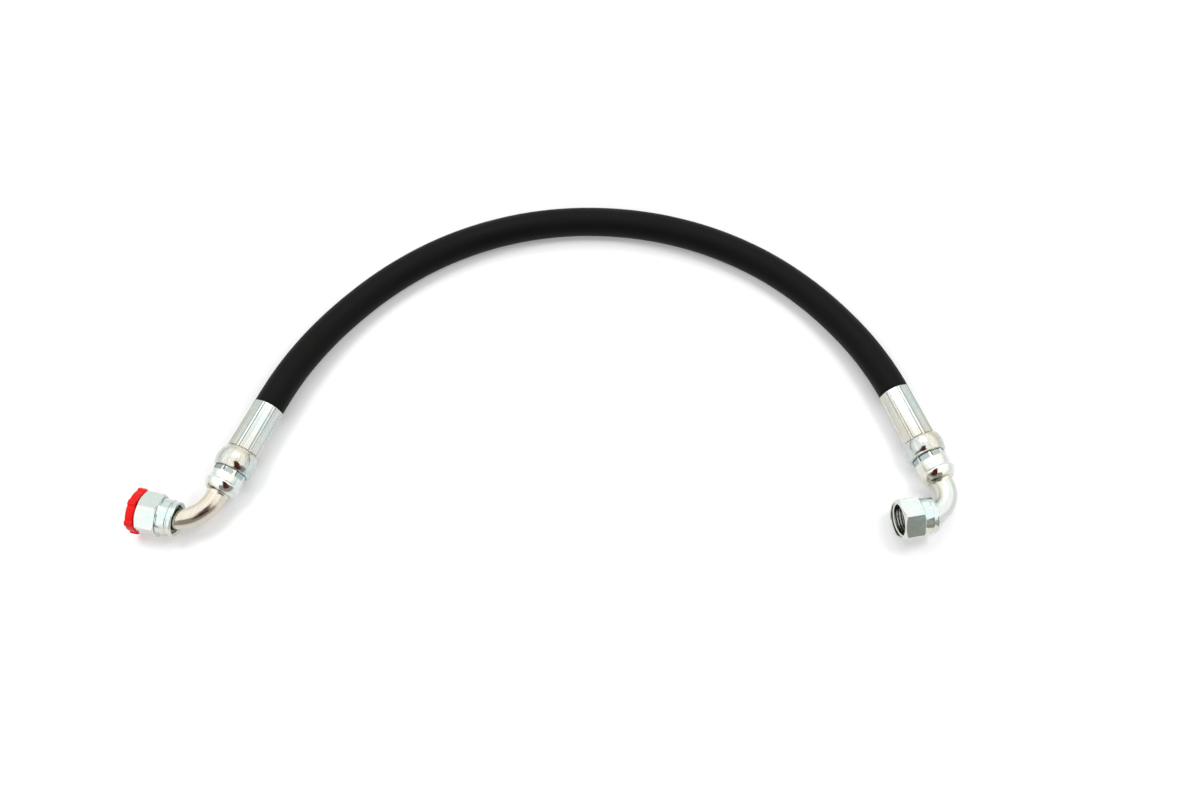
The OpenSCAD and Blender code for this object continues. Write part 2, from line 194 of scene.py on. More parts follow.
def mouthPlace(end):
    turn = Matrix.Rotation(math.radians(end["heading"]), 4, "Z")
    return Matrix.Translation(Vector(end["mouth"]) * mm) @ turn


def bendPlace(end):
    # The tube's bend is turned a little out of the flat about the fitting's own line
    return mouthPlace(end) @ Matrix.Rotation(math.radians(end["roll"]), 4, "X")


def portPlace(end):
    # At the face of the nut, with x out of its mouth
    bend = math.radians(end["bend"])
    bendEnd = (
        end["stemEnd"] + end["neck"] + end["bendRadius"] * math.sin(bend),
        -end["bendRadius"] * (1 - math.cos(bend)),
        0,
    )
    turned = Matrix.Translation(Vector(bendEnd) * mm) @ Matrix.Rotation(-bend, 4, "Z")
    return bendPlace(end) @ turned @ Matrix.Translation((end["tail"] * mm, 0, 0))


cameraValues = {"lens": 39, "place": (35.1, -331.2, 805), "tilt": 25.8}

deselectAll()
bpy.ops.object.camera_add(
    location=Vector(cameraValues["place"]) * mm, rotation=(math.radians(cameraValues["tilt"]), 0, 0)
)
camera = bpy.context.object
camera.data.lens = cameraValues["lens"]
camera.data.sensor_width = 36
camera.data.clip_start = 0.01
bpy.context.scene.camera = camera
print("camera set")


def makeRubber():
    # Nitrile rubber cover, extruded and cured in a wrap: carbon black, nearly matt, with a fine dry grain
    values = {
        "colour": "#070807", "bloom": "#0d0e0c", "patches": 40, "grain": 0.8,
        "roughness": (0.46, 0.62), "bump": 0.06, "gloss": 0.08,
    }
    material, tree = newMaterial("nitrileRubberCover")
    place = addNode(tree, "ShaderNodeTexCoord", {}).outputs["Object"]
    patches = addNode(
        tree, "ShaderNodeTexNoise",
        {"Vector": place, "Scale": patternScale(values["patches"]), "Detail": 4, "Roughness": 0.6},
    ).outputs["Fac"]
    grain = addNode(
        tree, "ShaderNodeTexNoise",
        {"Vector": place, "Scale": patternScale(values["grain"]), "Detail": 3, "Roughness": 0.6},
    ).outputs["Fac"]
    colour = addNode(
        tree, "ShaderNodeValToRGB", {"Fac": patches}, [(0.35, values["colour"]), (0.7, values["bloom"])]
    ).outputs["Color"]
    low, high = values["roughness"]
    roughness = addNode(
        tree, "ShaderNodeMapRange",
        {"Value": patches, "From Min": 0.3, "From Max": 0.7, "To Min": low, "To Max": high},
    ).outputs["Result"]
    bump = addNode(
        tree, "ShaderNodeBump", {"Height": grain, "Strength": 0.5, "Distance": values["bump"] * mm}
    ).outputs["Normal"]
    shader = addNode(
        tree, "ShaderNodeBsdfPrincipled",
        {
            "Base Color": colour, "Roughness": roughness, "Normal": bump, "IOR": 1.5,
            "Specular IOR Level": values["gloss"],
        },
    ).outputs["BSDF"]
    addNode(tree, "ShaderNodeOutputMaterial", {"Surface": shader})
    return material


def makeZinc(name, place, heading, v, band=None):
    # Zinc plate with a clear passivation over the tool marks of the steel, with local x along the fitting.
    # band is where the pressed facets start and end, how many there are and how far round the first corner is
    material, tree = newMaterial(name)
    world = addNode(tree, "ShaderNodeTexCoord", {}).outputs["Object"]
    local = addNode(
        tree, "ShaderNodeMapping",
        {"Vector": world, "Location": Vector(place) * mm, "Rotation": (0, 0, math.radians(heading))},
        vector_type="TEXTURE",
    ).outputs["Vector"]
    stretch = (v["apart"] / v["long"], 1, 1) if v["long"] else (1, 0.02, 0.02)
    stretched = addNode(tree, "ShaderNodeMapping", {"Vector": local, "Scale": stretch}).outputs["Vector"]
    marks = addNode(
        tree, "ShaderNodeTexNoise",
        {"Vector": stretched, "Scale": patternScale(v["apart"]), "Detail": 2, "Roughness": 0.5},
    ).outputs["Fac"]
    tint = addNode(
        tree, "ShaderNodeTexNoise",
        {"Vector": local, "Scale": patternScale(zincValues["tint"]), "Detail": 3, "Roughness": 0.5},
    ).outputs["Fac"]
    stain = addNode(
        tree, "ShaderNodeTexNoise",
        {"Vector": local, "Scale": patternScale(zincValues["stain"]), "Detail": 4, "Roughness": 0.65},
    ).outputs["Fac"]
    cool, plain, warm = v["tones"]
    colour = addNode(
        tree, "ShaderNodeValToRGB", {"Fac": tint}, [(0.32, cool), (0.5, plain), (0.7, warm)]
    ).outputs["Color"]
    if band:
        # Painted reflection and highlight: the facets are tinted a darker blue-grey for what they would
        # mirror, and their corners keep the full colour as a painted highlight, with a painted dark line on
        # one side of each
        start, end, corners, corner = band
        parts = addNode(tree, "ShaderNodeSeparateXYZ", {"Vector": local}).outputs
        share = addNode(
            tree, "ShaderNodeMapRange",
            {"Value": parts["X"], "From Min": (2 * start - end) * mm, "From Max": (2 * end - start) * mm},
        ).outputs["Result"]
        turn = addNode(
            tree, "ShaderNodeMath", {0: parts["Z"], 1: parts["Y"]}, operation="ARCTAN2"
        ).outputs["Value"]
        sector = addNode(
            tree, "ShaderNodeMath",
            {0: turn, 1: corners / (2 * math.pi), 2: corners - corner / (360 / corners)},
            operation="MULTIPLY_ADD",
        ).outputs["Value"]
        sector = addNode(
            tree, "ShaderNodeMath", {0: sector, 1: 1.0}, operation="FLOORED_MODULO"
        ).outputs["Value"]
        facets = addNode(
            tree, "ShaderNodeValToRGB", {"Fac": sector},
            [
                (0.0, "#ffffff"), (0.1, "#ffffff"), (0.14, v["facetReflection"]), (0.84, v["facetReflection"]), (0.88, v["line"]),
                (0.94, v["line"]), (0.97, "#ffffff"), (1.0, "#ffffff"),
            ],
        ).outputs["Color"]
        inBand = addNode(
            tree, "ShaderNodeValToRGB", {"Fac": share},
            [(0.27, "#000000"), (0.31, "#ffffff"), (0.62, "#ffffff"), (0.68, "#000000")],
        ).outputs["Color"]
        pressed = addNode(
            tree, "ShaderNodeMix", {"Factor": inBand, 6: (1, 1, 1, 1), 7: facets}, data_type="RGBA"
        ).outputs[2]
        colour = addNode(
            tree, "ShaderNodeVectorMath", {0: colour, 1: pressed}, operation="MULTIPLY"
        ).outputs["Vector"]
    # Painted shade: the creases and hollows are darkened by how enclosed they are, as where shade falls
    openness = addNode(
        tree, "ShaderNodeAmbientOcclusion", {"Distance": zincValues["crease"] * mm}, samples=6
    ).outputs["AO"]
    paintedCreaseShade = addNode(
        tree, "ShaderNodeMapRange",
        {"Value": openness, "From Min": 0.35, "From Max": 0.9, "To Min": v["creaseShade"], "To Max": 1},
    ).outputs["Result"]
    worn = addNode(
        tree, "ShaderNodeMapRange",
        {"Value": marks, "From Min": 0.36, "From Max": 0.62, "To Min": 1 - v["dull"], "To Max": 1},
    ).outputs["Result"]
    stained = addNode(
        tree, "ShaderNodeMapRange",
        {"Value": stain, "From Min": 0.4, "From Max": 0.62, "To Min": 1, "To Max": 1 - v["dull"] / 2},
    ).outputs["Result"]
    # The marks and stains darken it as wear, and the creases as painted shade
    wearAndShade = addNode(tree, "ShaderNodeMath", {0: worn, 1: stained}, operation="MULTIPLY").outputs["Value"]
    wearAndShade = addNode(tree, "ShaderNodeMath", {0: wearAndShade, 1: paintedCreaseShade}, operation="MULTIPLY").outputs["Value"]
    wornAndShaded = addNode(
        tree, "ShaderNodeVectorMath", {0: colour, 1: wearAndShade}, operation="MULTIPLY"
    ).outputs["Vector"]
    low, high = v["roughness"]
    gloss = addNode(
        tree, "ShaderNodeMapRange",
        {"Value": stain, "From Min": 0.35, "From Max": 0.7, "To Min": low, "To Max": high},
    ).outputs["Result"]
    relief = addNode(
        tree, "ShaderNodeBump", {"Height": marks, "Strength": 0.6, "Distance": v["bump"] * mm}
    ).outputs["Normal"]
    shader = addNode(
        tree, "ShaderNodeBsdfPrincipled",
        {"Base Color": wornAndShaded, "Metallic": 1.0, "Roughness": gloss, "Normal": relief},
    ).outputs["BSDF"]
    addNode(tree, "ShaderNodeOutputMaterial", {"Surface": shader})
    return material


# The plate is faintly blue-green in one place and straw in another. The marks are so far apart and so long,
# and a length of 0 puts them round the fitting; dull is how far they darken it, and the crease shade value
# how far the creases are darkened as painted shade
zincValues = {"tint": 22, "stain": 2.2, "crease": 1.1}
crimpedZinc = {
    "tones": ("#bac8c5", "#c3c7c4", "#c8c4b5"), "apart": 0.9, "long": 60, "bump": 0.01,
    "roughness": (0.1, 0.18), "dull": 0.2, "creaseShade": 0.35,
}
# The band's facets get a painted reflection tint and a painted dark line beside their corners
turnedZinc = {
    "tones": ("#c6d2cf", "#ced2cf", "#d2cec0"), "apart": 0.5, "long": 0, "bump": 0.004,
    "roughness": (0.08, 0.16), "dull": 0.08, "creaseShade": 0.35, "facetReflection": "#bdc8cb", "line": "#5d676a",
}
bentZinc = {"apart": 1.2, "long": 8, "bump": 0.006, "roughness": (0.16, 0.24), "dull": 0.06, "creaseShade": 0.5}
nutZinc = {
    "tones": ("#bccbc8", "#c7cbc8", "#cbc7b8"), "apart": 0.7, "long": 40, "bump": 0.006,
    "roughness": (0.1, 0.2), "dull": 0.04, "creaseShade": 0.6,
}


def makeBraze():
    # Silver brazing filler under the plate: a smooth drawn-in fillet, a little warmer than the steel
    values = {"light": "#cfcdc2", "dark": "#bfbaa9", "cloud": 1.5, "bump": 0.08, "roughness": 0.26}
    material, tree = newMaterial("brazeFillet")
    place = addNode(tree, "ShaderNodeTexCoord", {}).outputs["Object"]
    cloud = addNode(
        tree, "ShaderNodeTexNoise",
        {"Vector": place, "Scale": patternScale(values["cloud"]), "Detail": 3, "Roughness": 0.6},
    ).outputs["Fac"]
    colour = addNode(
        tree, "ShaderNodeValToRGB", {"Fac": cloud}, [(0.35, values["dark"]), (0.62, values["light"])]
    ).outputs["Color"]
    relief = addNode(
        tree, "ShaderNodeBump", {"Height": cloud, "Strength": 0.5, "Distance": values["bump"] * mm}
    ).outputs["Normal"]
    shader = addNode(
        tree, "ShaderNodeBsdfPrincipled",
        {"Base Color": colour, "Metallic": 1.0, "Roughness": values["roughness"], "Normal": relief},
    ).outputs["BSDF"]
    addNode(tree, "ShaderNodeOutputMaterial", {"Surface": shader})
    return material


def makePolyethylene():
    # Injection moulded low-density polyethylene: waxy, and slightly see-through at thin edges
    values = {"colour": "#f61a14", "deep": "#e61510", "cloud": 6, "grain": 0.4, "bump": 0.03, "gloss": 0.2}
    material, tree = newMaterial("redPolyethylene")
    place = addNode(tree, "ShaderNodeTexCoord", {}).outputs["Object"]
    cloud = addNode(
        tree, "ShaderNodeTexNoise",
        {"Vector": place, "Scale": patternScale(values["cloud"]), "Detail": 2, "Roughness": 0.5},
    ).outputs["Fac"]
    grain = addNode(
        tree, "ShaderNodeTexNoise",
        {"Vector": place, "Scale": patternScale(values["grain"]), "Detail": 2, "Roughness": 0.5},
    ).outputs["Fac"]
    colour = addNode(
        tree, "ShaderNodeValToRGB", {"Fac": cloud}, [(0.35, values["deep"]), (0.65, values["colour"])]
    ).outputs["Color"]
    roughness = addNode(
        tree, "ShaderNodeMapRange",
        {"Value": grain, "From Min": 0.3, "From Max": 0.7, "To Min": 0.34, "To Max": 0.44},
    ).outputs["Result"]
    relief = addNode(
        tree, "ShaderNodeBump", {"Height": grain, "Strength": 0.3, "Distance": values["bump"] * mm}
    ).outputs["Normal"]
    shader = addNode(
        tree, "ShaderNodeBsdfPrincipled",
        {
            "Base Color": colour, "Roughness": roughness, "Normal": relief, "IOR": 1.51,
            "Specular IOR Level": values["gloss"],
            "Subsurface Weight": 0.12, "Subsurface Radius": (0.002, 0.0004, 0.0003), "Subsurface Scale": 1.0,
        },
    ).outputs["BSDF"]
    addNode(tree, "ShaderNodeOutputMaterial", {"Surface": shader})
    return material


rubber = makeRubber()
braze = makeBraze()
polyethylene = makePolyethylene()
print("materials made")


hoseValues = {
    "outer": 20.5, "bore": 12.7, "wall": 1.5, "sides": 64, "between": 9, "smooth": 40,
    "inside": (8.0, 4.0, 2.0),      # rings inside each ferrule, of which the first ends the modelled hose
    "outside": ((0.6, 10.0), (1.2, 10.13)),     # how far out, and the radius where the pinch lets go
    "pinch": 2.0, "clear": 0.5, "mouthRadius": 9.8, "gripRadius": 8.72,
}
hoseRoute = [
    (-173.6, 68.6, 14.2), (-156.1, 96.1, 12.4), (-136.1, 120.1, 10.8), (-113.6, 141.1, 10.3),
    (-87.1, 159.6, 10.3), (-58.1, 174.1, 10.3), (-27.6, 184.1, 10.3), (3.9, 189.6, 10.3),
    (35.9, 190.6, 10.3), (68.4, 187.1, 10.3), (99.9, 179.1, 10.3), (128.9, 167.1, 10.3),
    (155.9, 151.1, 10.3), (180.9, 130.6, 10.3), (202.4, 106.6, 11.3), (219.9, 80.6, 12.9),
]


def headingOf(end):
    turn = math.radians(end["heading"])
    return Vector((math.cos(turn), math.sin(turn), 0))


def hoseLine():
    # A smooth curve through the route, straight where it leaves each ferrule
    startA, startB = Vector(endA["mouth"]), Vector(endB["mouth"])
    points = [startA] + [Vector(p) for p in hoseRoute] + [startB]
    slopes = [(points[i + 1] - points[i - 1]) / 2 for i in range(1, len(points) - 1)]
    slopes = [-headingOf(endA) * (points[1] - points[0]).length] + slopes
    slopes.append(headingOf(endB) * (points[-1] - points[-2]).length)
    line = []
    for i in range(len(points) - 1):
        for k in range(hoseValues["between"]):
            t = k / hoseValues["between"]
            line.append(
                (2 * t ** 3 - 3 * t ** 2 + 1) * points[i] + (t ** 3 - 2 * t ** 2 + t) * slopes[i]
                + (3 * t ** 2 - 2 * t ** 3) * points[i + 1] + (t ** 3 - t ** 2) * slopes[i + 1]
            )
    return line + [startB]


def hoseStations():
    # (place, radius) of every ring of the cover, from inside ferrule A to inside ferrule B
    free, mouth, grip = hoseValues["outer"] / 2, hoseValues["mouthRadius"], hoseValues["gripRadius"]
    end, grown, half = hoseValues["inside"]
    inside = [(end, grip), (grown, grip), (half, (grip + mouth) / 2), (0.0, mouth)]
    outside = [(-out, radius) for out, radius in hoseValues["outside"]] + [(-hoseValues["pinch"], free)]
    line = hoseLine()
    startA, startB = Vector(endA["mouth"]), Vector(endB["mouth"])
    nearA = [(startA + headingOf(endA) * d, r) for d, r in inside + outside]
    nearB = [(startB + headingOf(endB) * d, r) for d, r in inside + outside]
    clear = hoseValues["pinch"] + hoseValues["clear"]
    middle = [(p, free) for p in line if (p - startA).length > clear and (p - startB).length > clear]
    return nearA + middle + nearB[::-1]


def makeHose():
    stations = hoseStations()
    sides = hoseValues["sides"]
    bore = hoseValues["bore"] / 2
    # Out along the cover, then back along the bore
    back = [(place, min(bore, radius - hoseValues["wall"])) for place, radius in reversed(stations)]
    rings = stations + back
    vertices = []
    for i, (place, radius) in enumerate(rings):
        k = i if i < len(stations) else len(rings) - 1 - i
        before, after = stations[max(k - 1, 0)][0], stations[min(k + 1, len(stations) - 1)][0]
        along = (after - before).normalized()
        side = Vector((0, 0, 1)).cross(along).normalized()
        top = along.cross(side)
        for j in range(sides):
            turn = 2 * math.pi * j / sides
            vertices.append((place + radius * (math.cos(turn) * side + math.sin(turn) * top)) * mm)
    faces = []
    for i in range(len(rings)):
        here, there = i * sides, (i + 1) % len(rings) * sides
        for j in range(sides):
            k = (j + 1) % sides
            faces.append((here + j, here + k, there + k, there + j))
    mesh = bpy.data.meshes.new("rubberHose")
    mesh.from_pydata(vertices, [], faces)
    piece = bpy.data.objects.new("rubberHose", mesh)
    bpy.context.scene.collection.objects.link(piece)
    selectOnly(piece)
    bpy.ops.object.mode_set(mode="EDIT")
    bpy.ops.mesh.select_all(action="SELECT")
    bpy.ops.mesh.normals_make_consistent(inside=False)
    bpy.ops.object.mode_set(mode="OBJECT")
    smoothPiece(piece, hoseValues["smooth"])
    path = [tuple(place * mm) for place, radius in stations]
    return piece, path


rubberHose, hosePath = makeHose()
hoseNodes = ["hose_cover", "outer_braid", "friction_layer", "inner_braid", "hose_liner"]
finishPiece(rubberHose, rubber, hoseBody, "cover_rubber", *hoseNodes)
print("hose made")


ferruleValues = {
    "dies": 8, "mouthAcross": 20.5, "endAcross": 21.4, "ridge": 0.55, "bead": 0.16,
    "ridgeTurn": 3.5, "turnSlack": 0.1, "nickTurn": 5.4, "nickWidth": 1.8, "nick": 0.42, "nickEnd": 0.9,
    "flatEnd": 0.3, "outsideFrom": 10, "sides": 128, "smooth": 28,
    "length": 50, "bulge": 27.2, "bulgeMiddle": 43.5, "bulgeRings": 14,
    "lines": (0, 1.4, 2.7, 3.5, 4.0, 5.4, 7.2, 15),     # degrees from a ridge's middle
    "mouthEdge": ((0, 0.25), (0.08, 0.1), (0.3, 0)),    # along, and how far below the ridge
    "rings": (3, 9, 16, 23, 29, 33),                    # along the ridges
    "crimpRings": (1.1, 0.8, 0.4),                      # back from the end of the crimp
    "foot": ((-0.1, -0.2), (0.15, 0.05)),               # from the end of the crimp, and over the bulge's foot
    "bulgeStart": 0.8, "bulgeEdge": 0.5, "overFoot": 0.1,
    "rim": ((0.35, -0.05), (0.1, 0.15), (0, 0.5)),      # back from the end, and below the bulge's rim
    "hollow": [
        (50, 8.0), (46, 8.0), (46, 10.9), (38.5, 10.9), (38.5, 8.75), (4, 8.75), (0.1, 9.85), (0, 9.9),
    ],
}


def ferruleProfile(crimpEnd, crest):
    v = ferruleValues
    middle, ball, end = v["bulgeMiddle"], v["bulge"] / 2, v["length"]

    def ballRadius(x):
        return math.sqrt(ball ** 2 - (x - middle) ** 2)

    foot = max(ballRadius(crimpEnd), crest[1])
    ballStart = crimpEnd + v["bulgeStart"]
    step = (end - v["bulgeEdge"] - ballStart) / v["bulgeRings"]
    rim = ballRadius(end)
    profile = [(x, crest[0] - below) for x, below in v["mouthEdge"]]
    profile += [(x, crest[0] + (crest[1] - crest[0]) * x / crimpEnd) for x in v["rings"]]
    profile += [(crimpEnd - back, crest[1]) for back in v["crimpRings"]]
    profile += [(crimpEnd + x, foot + over) for x, over in v["foot"]]
    for x in [ballStart + step * k for k in range(v["bulgeRings"] + 1)]:
        profile.append((x, max(ballRadius(x), foot + v["overFoot"])))
    profile += [(end - back, rim - below) for back, below in v["rim"]]
    return profile + v["hollow"]


def pressRidges(piece, crimpEnd, taper):
    # The dies press eight flats and leave a rounded ridge between each two, with a nick along each side of it
    v = ferruleValues
    sector = 360 / v["dies"]
    for vertex in piece.data.vertices:
        x, radius, turn = polarOf(vertex.co)
        if x < crimpEnd - v["flatEnd"] and radius > v["outsideFrom"]:
            away = abs((turn + sector / 2) % sector - sector / 2)
            flat = (v["mouthAcross"] + taper * x) / 2 / math.cos(math.radians(sector / 2 - away))
            if away > v["ridgeTurn"] + v["turnSlack"]:
                nick = v["nick"] * min(1, max(0, 1 - (away - v["nickTurn"]) / v["nickWidth"]))
                if x > crimpEnd - v["nickEnd"]:
                    nick = v["nick"]
                radius = min(radius, flat - nick)
            else:
                radius += v["bead"] * (1 - (away / v["ridgeTurn"]) ** 2)
            moveTo(vertex, x, radius, turn)


def makeFerrule(end, material):
    v = ferruleValues
    crimpEnd = end["crimpEnd"]
    taper = (v["endAcross"] - v["mouthAcross"]) / crimpEnd
    crest = [v["mouthAcross"] / 2 + v["ridge"] + taper / 2 * x for x in (0, crimpEnd)]
    piece = turnPiece("ferrule" + end["letter"].upper(), ferruleProfile(crimpEnd, crest), v["sides"])
    spreadTurns(piece, v["dies"], v["lines"])
    pressRidges(piece, crimpEnd, taper)
    turnAbout(piece, end["dieTurn"])
    placePiece(piece, mouthPlace(end))
    smoothPiece(piece, v["smooth"])
    finishPiece(piece, material, hoseBody, "crimped_zinc", "ferrule_" + end["letter"])
    return piece


for end in (endA, endB):
    zinc = makeZinc(
        "crimpedZinc" + end["letter"].upper(), end["mouth"], end["heading"], crimpedZinc
    )
    end["ferrule"] = makeFerrule(end, zinc)
print("ferrules made")


tubeValues = {
    "outer": 14, "wall": 2, "sides": 56, "bendSteps": 32, "flattening": 0.25, "smooth": 40,
    "socket": 7.95, "depth": 14.93,     # how far it sits in the stem, and how far behind the port it ends
}
stemValues = {
    "nipple": 12.6, "nippleStart": 2, "nippleEnd": 40, "bore": 10,
    "barbDepth": 0.4, "barbs": 7, "barbStep": 5, "barbEdge": 1,
    "flangeStart": 43.5, "flangeEnd": 45.9, "flange": 19, "lip": 15.9,
    "band": 50.1, "bandEnd": 53.6, "bandAcross": 21, "bandEdge": 0.4, "bandRings": (0.2, 1.5),
    "collar": 22.4, "collarRings": (-0.4, 0, 0.35, 2.5),    # along, from the end of the band
    "bead": 24, "socket": 14.1, "socketGap": 0.05, "corners": 8, "rounding": 0.2, "outsideFrom": 10,
    "sides": 128, "smooth": 28,
    "lines": (0, 1.2, 2.4, 3.6, 5, 8, 12.5, 17.5),      # degrees from a corner of the band
    "beadShape": [
        (7.5, 0.79), (7.15, 0.62), (6.8, 0.2), (6.4, 0.02), (6.0, 0), (5.5, 0.08), (4.9, 0.22), (4.2, 0.42),
        (3.5, 0.66), (2.8, 0.95), (2.1, 1.3), (1.45, 1.72), (0.9, 2.2), (0.45, 2.7), (0.15, 3.2), (0, 3.7),
    ],      # how far back from the end, and how far below the bead's full radius
}
stemBrazeValues = {
    "tube": 7.03, "rise": 1.5, "reach": 2.2, "gap": 0.03, "steps": 8, "sides": 64, "smooth": 40,
}


def stemProfile(stemEnd):
    v = stemValues
    names = ("nipple", "bore", "collar", "lip", "flange")
    nipple, bore, collar, lip, flange = (v[name] / 2 for name in names)
    profile = [(v["nippleStart"], bore)]
    for k in range(v["barbs"]):
        start = v["nippleStart"] + k * v["barbStep"]
        profile += [(start, nipple - v["barbDepth"]), (start + v["barbStep"] - v["barbEdge"], nipple)]
    profile += [
        (v["nippleEnd"], nipple), (v["flangeStart"], nipple), (v["flangeStart"], flange),
        (v["flangeEnd"], flange), (v["flangeEnd"], lip), (v["band"], lip),
        (v["band"], collar - v["bandEdge"]),
    ]
    profile += [(v["band"] + x, collar) for x in v["bandRings"]]
    profile += [(v["bandEnd"] + x, collar) for x in v["collarRings"]]
    # A bead steps out of the collar, slopes gently towards the end and rounds over to it
    profile += [(stemEnd - back, v["bead"] / 2 - down) for back, down in v["beadShape"]]
    socketStart = stemEnd - tubeValues["socket"] - v["socketGap"]
    return profile + [(stemEnd, v["socket"] / 2), (socketStart, v["socket"] / 2), (socketStart, bore)]


def makeStem(end, material):
    v = stemValues
    piece = turnPiece("stem" + end["letter"].upper(), stemProfile(end["stemEnd"]), v["sides"])
    spreadTurns(piece, v["corners"], v["lines"])
    pressFlats(
        piece, v["band"], v["bandEnd"], v["outsideFrom"], v["corners"], v["bandAcross"], v["rounding"]
    )
    turnAbout(piece, end["bandTurn"])
    placePiece(piece, mouthPlace(end))
    smoothPiece(piece, v["smooth"])
    finishPiece(piece, material, hoseBody, "turned_zinc", "stem_" + end["letter"])
    return piece


def makeStemBraze(end):
    v = stemBrazeValues
    tube, rise, reach, stemEnd = v["tube"], v["rise"], v["reach"], end["stemEnd"]
    fillet = [(stemEnd + v["gap"], tube), (stemEnd + v["gap"], tube + rise)]
    for k in range(1, v["steps"]):
        turn = math.pi / 2 * k / v["steps"]
        fillet.append((stemEnd + reach * (1 - math.cos(turn)), tube + rise * (1 - math.sin(turn))))
    fillet.append((stemEnd + reach, tube))
    piece = turnPiece("stemBraze" + end["letter"].upper(), fillet, v["sides"])
    placePiece(piece, mouthPlace(end))
    smoothPiece(piece, v["smooth"])
    finishPiece(piece, braze, hoseBody, "braze_filler", "stem_braze_" + end["letter"])
    return piece


for end in (endA, endB):
    zinc = makeZinc(
        "turnedZinc" + end["letter"].upper(), end["mouth"], end["heading"], turnedZinc,
        (stemValues["band"], stemValues["bandEnd"], stemValues["corners"], end["bandTurn"]),
    )
    end["turnedZinc"] = zinc
    end["stem"] = makeStem(end, zinc)
    end["stemBraze"] = makeStemBraze(end)
print("stems made")


def makeTube(end, material):
    v = tubeValues
    bend = math.radians(end["bend"])
    stemEnd, start = end["stemEnd"], end["stemEnd"] - v["socket"]
    bendStart = stemEnd + end["neck"]
    deselectAll()
    bpy.ops.mesh.primitive_circle_add(
        vertices=v["sides"], radius=v["outer"] / 2 * mm, location=(start * mm, 0, 0),
        rotation=(0, math.pi / 2, 0),
    )
    piece = bpy.context.object
    piece.name = "bentTube" + end["letter"].upper()
    bpy.ops.object.transform_apply(location=True, rotation=True, scale=True)
    bpy.ops.object.mode_set(mode="EDIT")
    bpy.ops.mesh.select_all(action="SELECT")
    for stretch in (stemEnd - start, end["neck"] / 2, end["neck"] / 2):
        bpy.ops.mesh.extrude_region_move(TRANSFORM_OT_translate={"value": (stretch * mm, 0, 0)})
    bpy.ops.mesh.spin(
        steps=v["bendSteps"], angle=bend, center=(bendStart * mm, -end["bendRadius"] * mm, 0), axis=(0, 0, 1)
    )
    along = Vector((math.cos(bend), -math.sin(bend), 0))
    tail = end["tail"] - v["depth"]
    for stretch in (tail / 2, tail / 2):
        bpy.ops.mesh.extrude_region_move(TRANSFORM_OT_translate={"value": along * stretch * mm})
    bpy.ops.mesh.select_all(action="SELECT")
    bpy.ops.mesh.remove_doubles(threshold=0.001 * mm)
    bpy.ops.mesh.normals_make_consistent(inside=False)
    bpy.ops.object.mode_set(mode="OBJECT")
    centre = Vector((bendStart, -end["bendRadius"], 0))
    for vertex in piece.data.vertices:
        # The bend draws its outer side in a little, as a bent tube does
        away = vertex.co / mm - centre
        turn = math.atan2(away.x, away.y)
        if 0 < turn < bend:
            reach = math.hypot(away.x, away.y)
            outward = max(0, (reach - end["bendRadius"]) / (v["outer"] / 2))
            share = outward ** 2 * math.sin(math.pi * turn / bend)
            factor = 1 - v["flattening"] * share / reach
            vertex.co = Vector((centre.x + away.x * factor, centre.y + away.y * factor, away.z)) * mm
    selectOnly(piece)
    wall = piece.modifiers.new("wall", "SOLIDIFY")
    wall.thickness = v["wall"] * mm
    wall.offset = -1
    bpy.ops.object.modifier_apply(modifier=wall.name)
    placePiece(piece, bendPlace(end))
    smoothPiece(piece, v["smooth"])
    finishPiece(piece, material, hoseBody, "bent_zinc", "bent_tube_" + end["letter"])
    return piece


for end in (endA, endB):
    finish = {**bentZinc, "tones": end["tubeTones"]}
    zinc = makeZinc("bentZinc" + end["letter"].upper(), end["mouth"], end["heading"], finish)
    end["tube"] = makeTube(end, zinc)
print("bent tubes made")


headValues = {
    # From the edge of the seat out over the head, in at its back and along its socket for the tube
    "head": [
        (-10.4, 9.2), (-10.4, 10.0), (-10.5, 10.23), (-10.75, 10.35), (-12.5, 10.35), (-15.0, 10.35),
        (-16.25, 9.1), (-18.5, 9.1), (-18.5, 8.0), (-17.55, 7.05), (-14.88, 7.05), (-14.88, 6.2),
        (-14.38, 6.2),
    ],
    "headSides": 96, "headSmooth": 30,
    "braze": [(-18.5, 7.03), (-17.75, 7.03), (-18.15, 7.35), (-18.5, 7.9)],
    "brazeSides": 64, "brazeSmooth": 40,
}


def makeSeatHead(end, material):
    v = headValues
    piece = turnPiece("seatHead" + end["letter"].upper(), v["head"], v["headSides"])
    placePiece(piece, portPlace(end))
    smoothPiece(piece, v["headSmooth"])
    finishPiece(piece, material, hoseBody, "turned_zinc", "seat_head_" + end["letter"])
    return piece


def makeHeadBraze(end):
    v = headValues
    piece = turnPiece("headBraze" + end["letter"].upper(), v["braze"], v["brazeSides"])
    placePiece(piece, portPlace(end))
    smoothPiece(piece, v["brazeSmooth"])
    finishPiece(piece, braze, hoseBody, "braze_filler", "head_braze_" + end["letter"])
    return piece


for end in (endA, endB):
    end["seatHead"] = makeSeatHead(end, end["turnedZinc"])
    end["headBraze"] = makeHeadBraze(end)
print("seat heads made")


